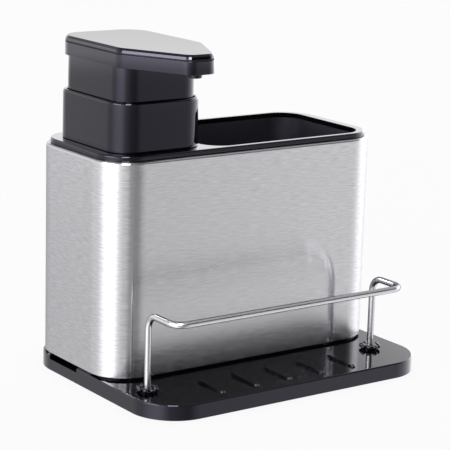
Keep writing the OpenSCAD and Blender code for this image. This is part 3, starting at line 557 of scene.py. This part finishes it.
def dressMesh(name, mesh, material, body, nodes, smoothUpTo=meshSet["smoothUpTo"]):
    mesh.polygons.foreach_set("use_smooth", [True] * len(mesh.polygons))
    mesh.set_sharp_from_angle(angle=math.radians(smoothUpTo))
    mesh.materials.clear()
    mesh.materials.append(material)
    piece = bpy.data.objects.new(name, mesh)
    bpy.context.scene.collection.objects.link(piece)
    evener = piece.modifiers.new("evenShading", "WEIGHTED_NORMAL")    # flat faces stay flat by fillets
    evener.keep_sharp = True
    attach(piece, body)
    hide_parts(*nodes)


def finishPiece(name, bm, material, body, nodes):
    dressMesh(name, plainMesh(name, bm), material, body, nodes)


# Geometry Nodes: a tree with named inputs, which ends in one material
def startGeometry(name, inputs):
    tree = bpy.data.node_groups.new(name, "GeometryNodeTree")
    tree.interface.new_socket("Geometry", in_out="INPUT", socket_type="NodeSocketGeometry")
    for label, kind in inputs.items():
        tree.interface.new_socket(label, in_out="INPUT", socket_type=kind)
    tree.interface.new_socket("Geometry", in_out="OUTPUT", socket_type="NodeSocketGeometry")
    return tree, addNode(tree, "NodeGroupInput").outputs


def endGeometry(tree, geometry, material):
    real = addNode(tree, "GeometryNodeRealizeInstances", links={"Geometry": geometry})
    painted = addNode(tree, "GeometryNodeSetMaterial", values={"Material": material},
                      links={"Geometry": real.outputs[0]})
    addNode(tree, "NodeGroupOutput", links={0: painted.outputs[0]})


# Runs a tree on a mesh with the given values, and returns the plain mesh that it makes
def growMesh(name, tree, mesh, values):
    holder = bpy.data.objects.new(name + "Source", mesh)
    bpy.context.scene.collection.objects.link(holder)
    grower = holder.modifiers.new("grow", "NODES")
    grower.node_group = tree
    for item in tree.interface.items_tree:
        if item.in_out == "INPUT" and item.name in values:
            grower[item.identifier] = values[item.name]
    grown = bpy.data.meshes.new_from_object(holder.evaluated_get(bpy.context.evaluated_depsgraph_get()))
    bpy.data.objects.remove(holder)
    return grown


# Tube of a given thickness along a line of straight runs, with every corner bent to one radius
def makeTubeTree(material, bendSteps, sides):
    tree, given = startGeometry("bentTube", {
        "Thickness": "NodeSocketFloat", "Bend Radius": "NodeSocketFloat"})
    line = addNode(tree, "GeometryNodeMeshToCurve", links={"Mesh": given["Geometry"]})
    bent = addNode(tree, "GeometryNodeFilletCurve", {"mode": "POLY"},
                   {"Count": bendSteps, "Limit Radius": True},
                   {"Curve": line.outputs[0], "Radius": given["Bend Radius"]})
    half = addNode(tree, "ShaderNodeMath", {"operation": "MULTIPLY"}, {1: 0.5}, {0: given["Thickness"]})
    ring = addNode(tree, "GeometryNodeCurvePrimitiveCircle", values={"Resolution": sides},
                   links={"Radius": half.outputs[0]})
    tube = addNode(tree, "GeometryNodeCurveToMesh", values={"Fill Caps": True},
                   links={"Curve": bent.outputs[0], "Profile Curve": ring.outputs[0]})
    endGeometry(tree, tube.outputs[0], material)
    return tree


# Ball-shaped lobes spread evenly round a circle, joined to the given body
def makeLobeTree(material, sides, rings):
    tree, given = startGeometry("ringOfLobes", {
        "Count": "NodeSocketInt", "Radius": "NodeSocketFloat", "Lobe": "NodeSocketFloat",
        "Height": "NodeSocketFloat", "Centre": "NodeSocketVector"})
    circle = addNode(tree, "GeometryNodeMeshCircle", links={
        "Vertices": given["Count"], "Radius": given["Radius"]})
    moved = addNode(tree, "GeometryNodeTransform", links={
        "Geometry": circle.outputs[0], "Translation": given["Centre"]})
    ball = addNode(tree, "GeometryNodeMeshUVSphere", values={
        "Segments": sides, "Rings": rings, "Radius": 0.5})      # one metre across, before it is scaled
    size = addNode(tree, "ShaderNodeCombineXYZ", links={
        "X": given["Lobe"], "Y": given["Lobe"], "Z": given["Height"]})
    lobes = addNode(tree, "GeometryNodeInstanceOnPoints", links={
        "Points": moved.outputs[0], "Instance": ball.outputs[0], "Scale": size.outputs[0]})
    joined = addNode(tree, "GeometryNodeJoinGeometry")
    tree.links.new(given["Geometry"], joined.inputs[0])
    tree.links.new(lobes.outputs[0], joined.inputs[0])
    endGeometry(tree, joined.outputs[0], material)
    return tree


# Copies of the given mesh, drawn round the origin, at the points of another object
def makeScatterTree(material):
    tree, given = startGeometry("scatter", {"Places": "NodeSocketObject"})
    spots = addNode(tree, "GeometryNodeObjectInfo", links={"Object": given["Places"]})
    copies = addNode(tree, "GeometryNodeInstanceOnPoints", links={
        "Points": spots.outputs["Geometry"], "Instance": given["Geometry"]})
    endGeometry(tree, copies.outputs[0], material)
    return tree


softCopySet = {"weld": 0.001 * mm, "flatWithin": 0.4, "hardOver": 40, "rounds": 2}


# Copy of a CAD node, with its hard edges bevelled. reshape may move points of the copy first, and only
# edges whose two ends pass the test are bevelled.
def softCopy(node, name, material, body, width, reshape=None, test=None):
    s = softCopySet
    bm = bmesh.new()
    bm.from_mesh(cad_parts[node].data)
    bmesh.ops.remove_doubles(bm, verts=bm.verts, dist=s["weld"])
    flat = math.radians(s["flatWithin"])
    bmesh.ops.dissolve_limit(bm, angle_limit=flat, verts=bm.verts, edges=bm.edges)
    if reshape:
        reshape(bm)
    hard = [e for e in bm.edges if e.is_manifold and e.is_convex
            and e.calc_face_angle() > math.radians(s["hardOver"])
            and (test is None or all(test(v.co / mm) for v in e.verts))]
    bmesh.ops.bevel(bm, geom=hard, offset=width * mm, segments=s["rounds"], profile=0.5, affect="EDGES",
                    clamp_overlap=True)
    finishPiece(name, bm, material, body, [node])


# Sleeve: sheet steel, its top edge turned inwards

sleeveSet = {"corner": 18.5, "sheet": 0.8, "lip": 3.4, "bend": 1.2, "innerBend": 0.4, "cutEdge": 0.15}


def makeSleeve(s):
    bottom, top = (corner.z for corner in boxOf("steel_sleeve"))
    sheet, lip, cut = s["sheet"], s["lip"], s["cutEdge"]
    bm = bmesh.new()
    loft(bm, profileLoops(boxPlan("steel_sleeve", s["corner"]), [
        (0, bottom, cut), (0, top, s["bend"]), (lip, top, cut), (lip, top - sheet, cut),
        (sheet, top - sheet, s["innerBend"]), (sheet, bottom, cut)]), closed=True)
    finishPiece("sleeveShell", bm, brushedSteel, "caddy", ["steel_sleeve"])


makeSleeve(sleeveSet)
print("sleeve made")

# Pump collar: a square cup on a flange, with a plug below that fills the bottle's mouth and holds its
# seal. Insets are from the outside of the collar.

pumpCollarSet = {"corner": 12.2, "draft": 0.15, "edge": 1.0, "wall": 1.8, "rimTaper": 0.1,
                 "rimFillet": 0.5, "floor": (116.3, 118.3), "floorFillet": 0.6, "foot": 115.4,
                 "footFillet": 0.3, "flangeIn": 1.1, "plugIn": 4.8, "plugWall": 1.8, "plugFillet": 0.5,
                 "plugRoot": 0.2, "hollowFillet": 0.3, "groove": (112.15, 114.45), "grooveDepth": 0.8,
                 "fine": 0.1, "barrelHole": 18.1, "ledgeAbove": 1.2, "ledgeBelow": 1.0}


def makeCollar(s):
    low, high = boxOf("pump_collar")
    wall, foot, flange, plug, fine = s["wall"], s["foot"], s["flangeIn"], s["plugIn"], s["fine"]
    floorLow, floorHigh = s["floor"]
    grooveLow, grooveHigh = s["groove"]
    deep, hollow = plug + s["grooveDepth"], plug + s["plugWall"]
    loops = profileLoops(boxPlan("pump_collar", s["corner"]), [
        (wall + s["ledgeAbove"], floorHigh, 0), (wall, floorHigh, s["floorFillet"]),
        (wall + s["rimTaper"], high.z, s["rimFillet"]), (s["draft"], high.z, s["edge"]),
        (0, foot, s["footFillet"]), (flange, foot, fine), (flange, floorLow, 0),
        (plug, floorLow, s["plugRoot"]), (plug, grooveHigh, fine), (deep, grooveHigh, 0),
        (deep, grooveLow, 0), (plug, grooveLow, fine), (plug, low.z, s["plugFillet"]),
        (hollow, low.z, s["hollowFillet"]), (hollow, floorLow, s["hollowFillet"]),
        (hollow + s["ledgeBelow"], floorLow, 0)])
    centre, hole = (low + high) / 2, s["barrelHole"] / 2
    bm = bmesh.new()
    loft(bm, [roundLoop(loops[0], centre, hole, floorHigh)] + loops
         + [roundLoop(loops[-1], centre, hole, floorLow)], closed=True)
    finishPiece("pumpCollar", bm, blackGloss, "pump_base", ["pump_collar"])


makeCollar(pumpCollarSet)

# Plunger shroud: the square skirt under the head, which slides in the collar

shroudSet = {"corner": 9.7, "wall": 1.5, "outerFillet": 0.4, "innerFillet": 0.3}


def makeShroud(s):
    bottom, top = (corner.z for corner in boxOf("plunger_shroud"))
    bm = bmesh.new()
    loft(bm, profileLoops(boxPlan("plunger_shroud", s["corner"]), [
        (0, bottom, s["outerFillet"]), (0, top, 0), (s["wall"], top, 0),
        (s["wall"], bottom, s["innerFillet"])]), closed=True)
    finishPiece("plungerShroud", bm, blackGloss, "pump_head", ["plunger_shroud"])


makeShroud(shroudSet)

# Head: a shell with its spout, a cap over it, and the seam between them

headSet = {
    # from the pump's axis: x, y and radius of each corner circle of the outline
    "corners": [(-10.6, 18.2, 13), (-10.6, -23.02, 13), (-2.76, -53.9, 6.6), (2.76, -53.9, 6.6),
                (10.6, -23.02, 13), (10.6, 18.2, 13)],
    "wall": 1.6, "edge": 0.45, "rimFillet": 0.25, "innerRim": 0.2, "innerFillet": 0.5, "ledge": 1.0,
    "underIn": 1.5}
capSet = {"bottom": 162.3, "lip": 0.06, "lipHeight": 0.15, "bulge": 0.8, "shoulderIn": 0.4,
          "shoulderDown": 1.0, "shoulder": 1.0, "topIn": 1.2, "topFillet": 0.5, "flatIn": 2.2, "roof": 1.4,
          "play": 0.1, "rim": 1.2, "rimFillet": 0.1, "roofFillet": 0.3, "roofLedge": 0.8}
seamSet = {"inset": 0.4, "standsOut": 0.1, "depth": 0.6, "play": 0.02}


def headPlan():
    low, high = boxOf("pump_collar")
    axis = (low + high) / 2
    return [((axis.x + x) * mm, (axis.y + y) * mm, r * mm) for x, y, r in headSet["corners"]]


# Closed body whose profile starts and ends on flat faces
def headPart(name, corners, node):
    bm = bmesh.new()
    rows = loft(bm, profileLoops(headPlan(), corners))
    capRow(bm, rows[0])
    capRow(bm, rows[-1])
    finishPiece(name, bm, blackGloss, "pump_head", [node])


def makeShell(s):
    bottom, top = (corner.z for corner in boxOf("head_shell"))
    wall = s["wall"]
    headPart("headShell", [
        (wall + s["ledge"], bottom + wall, 0), (wall, bottom + wall, s["innerFillet"]),
        (wall, top, s["innerRim"]), (0, top, s["rimFillet"]), (0, bottom, s["edge"]),
        (s["underIn"], bottom, 0)], "head_shell")


def makeCap(s, head, seam):
    low, high = (corner.z for corner in boxOf("head_cap"))
    shellTop = boxOf("head_shell")[1].z
    bottom, roof = s["bottom"], high - s["roof"]
    rim = head["wall"] + s["play"]
    inner = rim + s["rim"]
    headPart("headCap", [
        (inner + s["roofLedge"], roof, 0), (inner, roof, s["roofFillet"]), (inner, low, s["rimFillet"]),
        (rim, low, s["rimFillet"]), (rim, shellTop, 0), (seam["inset"], shellTop, 0),
        (seam["inset"], bottom, 0), (0, bottom, s["lip"]), (0, bottom + s["lipHeight"], s["bulge"]),
        (s["shoulderIn"], high - s["shoulderDown"], s["shoulder"]), (s["topIn"], high, s["topFillet"]),
        (s["flatIn"], high, 0)], "head_cap")


# Painted shade: an unpolished dark band laid in the seam at the cap's foot, so that the seam stays dark
# from every side
def makeSeamShade(s, cap):
    low, high = boxOf("head_shell")[1].z + s["play"], cap["bottom"] - s["play"]
    out, deep = s["inset"] - s["standsOut"], s["inset"] + s["depth"]
    bm = bmesh.new()
    loft(bm, profileLoops(headPlan(), [(deep, low, 0), (out, low, 0), (out, high, 0), (deep, high, 0)]),
         closed=True)
    finishPiece("headSeam", bm, seamShadeBlack, "pump_head", [])


makeShell(headSet)
makeCap(capSet, headSet, seamSet)
makeSeamShade(seamSet, capSet)
print("pump made")

# Tray: the seat's outer wall steps back under the sleeve, which leaves the photographed shadow gap

traySet = {"shelf": 7.8, "seatInset": 0.2, "stepBack": 1.4, "match": 0.1, "edge": 0.2, "ribsBefore": -30,
           "ribClear": 0.1}


def stepSeatBack(bm):
    t, match = traySet, traySet["match"]
    low, high = boxOf("steel_sleeve")
    centre, half = (low + high) / 2, (high - low) / 2
    corner = sleeveSet["corner"] - t["seatInset"]
    for v in bm.verts:
        if not t["shelf"] - match / 2 < v.co.z / mm < low.z + match / 2:
            continue
        away = [v.co[k] / mm - centre[k] for k in (0, 1)]
        past = [max(abs(away[k]) - (half[k] - t["seatInset"] - corner), 0) for k in (0, 1)]
        reach = math.hypot(*past)
        if abs(reach - corner) < match:
            for k in (0, 1):
                v.co[k] -= math.copysign(past[k] / reach * t["stepBack"] * mm, away[k])


def offRib(place):
    return place.z < traySet["shelf"] + traySet["ribClear"] or place.y > traySet["ribsBefore"]


softCopy("drip_tray", "dripTray", blackGloss, "caddy", traySet["edge"],
         stepSeatBack, offRib)

# Round noses of the ribs: small domes that catch the softboxes

ribTipSet = {"ribs": 5, "pitch": 19.5, "middle": -2.4, "line": -53.5, "across": 2.5, "height": 1.2,
             "roundShare": 0.9, "core": 0.1}


def makeRibTips(s, shelf):
    bm = bmesh.new()
    top, radius = shelf + s["height"], s["across"] / 2
    for k in range(s["ribs"]):
        lathe(bm, s["middle"] + (k - (s["ribs"] - 1) / 2) * s["pitch"], s["line"], [
            (s["core"], shelf, 0), (s["core"], top, 0), (radius, top, s["height"] * s["roundShare"]),
            (radius, shelf, 0)])
    finishPiece("ribTips", bm, blackGloss, "caddy", [])


makeRibTips(ribTipSet, traySet["shelf"])

# Deck frame and brush well keep their CAD shapes, with softer edges

deckSet = {"frameEdge": 0.2, "wellEdge": 0.3}
softCopy("deck_frame", "deckFrame", blackGloss, "caddy", deckSet["frameEdge"])
# The brush well's satin black carries painted light in its colour
softCopy("brush_well", "brushWell", satinBlackPaintedLight, "caddy", deckSet["wellEdge"])
print("tray, frame and well made")

# Wire rail, one bent wire, and the lobed collars round its posts

railSet = {"wire": 3.2, "bend": 6.5, "bendSteps": 14, "sides": 32}
railCollarSet = {"lobes": 8, "across": 10.8, "lobe": 2.6, "lobeHeight": 2.4, "foot": 7.4, "hole": 3.4,
                 "bodyIn": 0.7, "bodyDown": 0.5, "waistUp": 0.4, "holeEdge": 0.1, "bodyEdge": 0.4,
                 "waistFillet": 0.3, "footRoot": 0.2, "footEdge": 0.3, "smoothUpTo": 50,
                 "lobeSides": 24, "lobeRings": 16}


def makeRail(r):
    half = Vector((1, 1, 1)) * r["wire"] / 2
    low, high = boxOf("wire_rail")
    foot = low.z
    low, high = low + half, high - half
    stops = [(low.x, high.y, foot), (low.x, high.y, high.z), (low.x, low.y, high.z),
             (high.x, low.y, high.z), (high.x, high.y, high.z), (high.x, high.y, foot)]
    path = bpy.data.meshes.new("railPath")
    runs = [(k, k + 1) for k in range(len(stops) - 1)]
    path.from_pydata([[c * mm for c in stop] for stop in stops], runs, [])
    tree = makeTubeTree(wireSteel, r["bendSteps"], r["sides"])
    mesh = growMesh("wireRail", tree, path, {"Thickness": r["wire"] * mm, "Bend Radius": r["bend"] * mm})
    dressMesh("wireRail", mesh, wireSteel, "rail", ["wire_rail"])


def makeRailCollars(s):
    tree = makeLobeTree(blackGloss, s["lobeSides"], s["lobeRings"])
    ring = (s["across"] - s["lobe"]) / 2
    body, hole, foot = ring - s["bodyIn"], s["hole"] / 2, s["foot"] / 2
    for side in ("Left", "Right"):
        node = "rail_collar_" + side.lower()
        low, high = boxOf(node)
        centre = (low + high) / 2
        top, waist = high.z - s["bodyDown"], high.z - s["lobeHeight"] + s["waistUp"]
        bm = bmesh.new()
        lathe(bm, centre.x, centre.y, [
            (hole, low.z, 0), (hole, top, s["holeEdge"]), (body, top, s["bodyEdge"]),
            (body, waist, s["waistFillet"]), (foot, waist, s["footRoot"]), (foot, low.z, s["footEdge"])])
        middle = (centre.x * mm, centre.y * mm, (high.z - s["lobeHeight"] / 2) * mm)
        mesh = growMesh("railCollar" + side, tree, plainMesh("collarBody", bm), {
            "Count": s["lobes"], "Radius": ring * mm, "Lobe": s["lobe"] * mm,
            "Height": s["lobeHeight"] * mm, "Centre": middle})
        dressMesh("railCollar" + side, mesh, blackGloss, "caddy", [node],
                  s["smoothUpTo"])


makeRail(railSet)
makeRailCollars(railCollarSet)
print("rail made")

# Nozzle under the spout's end

nozzleSet = {"mouth": 2.2, "bore": 4.7, "taper": 0.25, "mouthEdge": 0.3, "edge": 0.7, "rootEdge": 0.05}


def makeNozzle(s):
    low, high = boxOf("nozzle_tip")
    centre = (low + high) / 2
    mouth, bore, radius = s["mouth"] / 2, s["bore"] / 2, (high.x - low.x) / 2
    bm = bmesh.new()
    lathe(bm, centre.x, centre.y, [
        (mouth, low.z, s["mouthEdge"]), (radius - s["taper"], low.z, s["edge"]),
        (radius, high.z, s["rootEdge"]), (bore, high.z, 0), (bore, centre.z, 0), (mouth, centre.z, 0)])
    finishPiece("nozzleTip", bm, blackGloss, "pump_head", ["nozzle_tip"])


makeNozzle(nozzleSet)
print("nozzle made")

# Feet and screws: one of each is drawn round the origin, and copied to its four places

footSet = {"across": 12.0, "places": [(-56, -46), (56, -46), (-56, 46), (56, 46)], "groove": 0.35,
           "grooveShares": (0.6, 0.68), "grooveFillet": 0.1, "edge": 0.4, "topEdge": 0.2, "core": 0.05,
           "smoothUpTo": 40}
screwSet = {"shank": 3.0, "root": 2.5, "head": 5.8, "headTop": 5.8, "headFillet": 0.8, "fine": 0.1,
            "recess": 1.3, "recessShare": 0.7, "recessDepth": 1.0, "threads": 12, "threadFrom": 0.2,
            "plain": 1.0, "rootShare": 1 / 3, "crestShare": 0.625, "point": 0.6, "pointShare": 0.5,
            "core": 0.05, "sides": 32,
            # the left pair stands wide and the right pair close, about the middle of the sleeve
            "columns": [(-71, 27.2), (46.878, 13.6)], "smoothUpTo": 40}


def scatterMesh(name, bm, material, places, node, smoothUpTo):
    spots = bpy.data.meshes.new(name + "Spots")
    spots.from_pydata([(x * mm, y * mm, 0) for x, y in places], [], [])
    marks = bpy.data.objects.new(name + "Spots", spots)
    bpy.context.scene.collection.objects.link(marks)
    mesh = growMesh(name, makeScatterTree(material), plainMesh(name, bm), {"Places": marks})
    bpy.data.objects.remove(marks)
    dressMesh(name, mesh, material, "caddy", [node], smoothUpTo)


def makeFeet(s):
    low, high = boxOf("rubber_feet")
    radius, groove, core = s["across"] / 2, low.z + s["groove"], s["core"]
    inner, outer = (radius * share for share in s["grooveShares"])
    bm = bmesh.new()
    lathe(bm, 0, 0, [
        (core, high.z, 0), (core, groove, 0), (inner, groove, s["grooveFillet"]),
        (outer, low.z, s["grooveFillet"]), (radius, low.z, s["edge"]), (radius, high.z, s["topEdge"])])
    scatterMesh("rubberFeet", bm, plain["black foot rubber"], s["places"], "rubber_feet",
                s["smoothUpTo"])


# A pan head with a round driver recess, and a shank with rolled rings in place of its thread
def makeScrews(s):
    bottom, top = (corner.z for corner in boxOf("base_screws"))
    shank, root, head = s["shank"] / 2, s["root"] / 2, s["head"] / 2
    headTop, fine, core, floor = s["headTop"], s["fine"], s["core"], bottom + s["recessDepth"]
    corners = [(core, floor, 0), (s["recess"] * s["recessShare"], floor, 0), (s["recess"], bottom, fine),
               (head, bottom, s["headFillet"]), (head, headTop, fine), (shank, headTop, 0)]
    pitch = (top - headTop - s["plain"]) / s["threads"]
    for k in range(s["threads"]):
        low = headTop + s["threadFrom"] + k * pitch
        corners += [(root, low + pitch * s["rootShare"], 0), (shank, low + pitch * s["crestShare"], 0)]
    corners += [(root, top - s["point"], fine), (root * s["pointShare"], top, fine), (core, top, 0)]
    sleeveLow, sleeveHigh = boxOf("steel_sleeve")
    middle = (sleeveLow.y + sleeveHigh.y) / 2
    places = [(x, middle + side * spread) for x, spread in s["columns"] for side in (-1, 1)]
    bm = bmesh.new()
    lathe(bm, 0, 0, corners, s["sides"])
    scatterMesh("baseScrews", bm, plain["plain stainless screw"], places, "base_screws",
                s["smoothUpTo"])


makeFeet(footSet)
makeScrews(screwSet)
print("feet and screws made")

# The pieces inside keep their CAD shapes, in their own materials

insideLooks = {
    "smoke bottle plastic": ["soap_bottle"],
    "grey seal rubber": ["mouth_seal"],
    "ground steel ball": ["inlet_ball", "outlet_ball"],
    "bright spring wire": ["return_spring"],
    "natural polypropylene": ["pump_cylinder", "cylinder_nut", "stem_bush", "ball_cage", "dip_tube",
                              "spout_channel", "pump_stem", "piston"],
}
for look, nodes in insideLooks.items():
    for node in nodes:
        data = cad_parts[node].data
        data.materials.clear()
        data.materials.append(plain[look])
print("inside dressed")
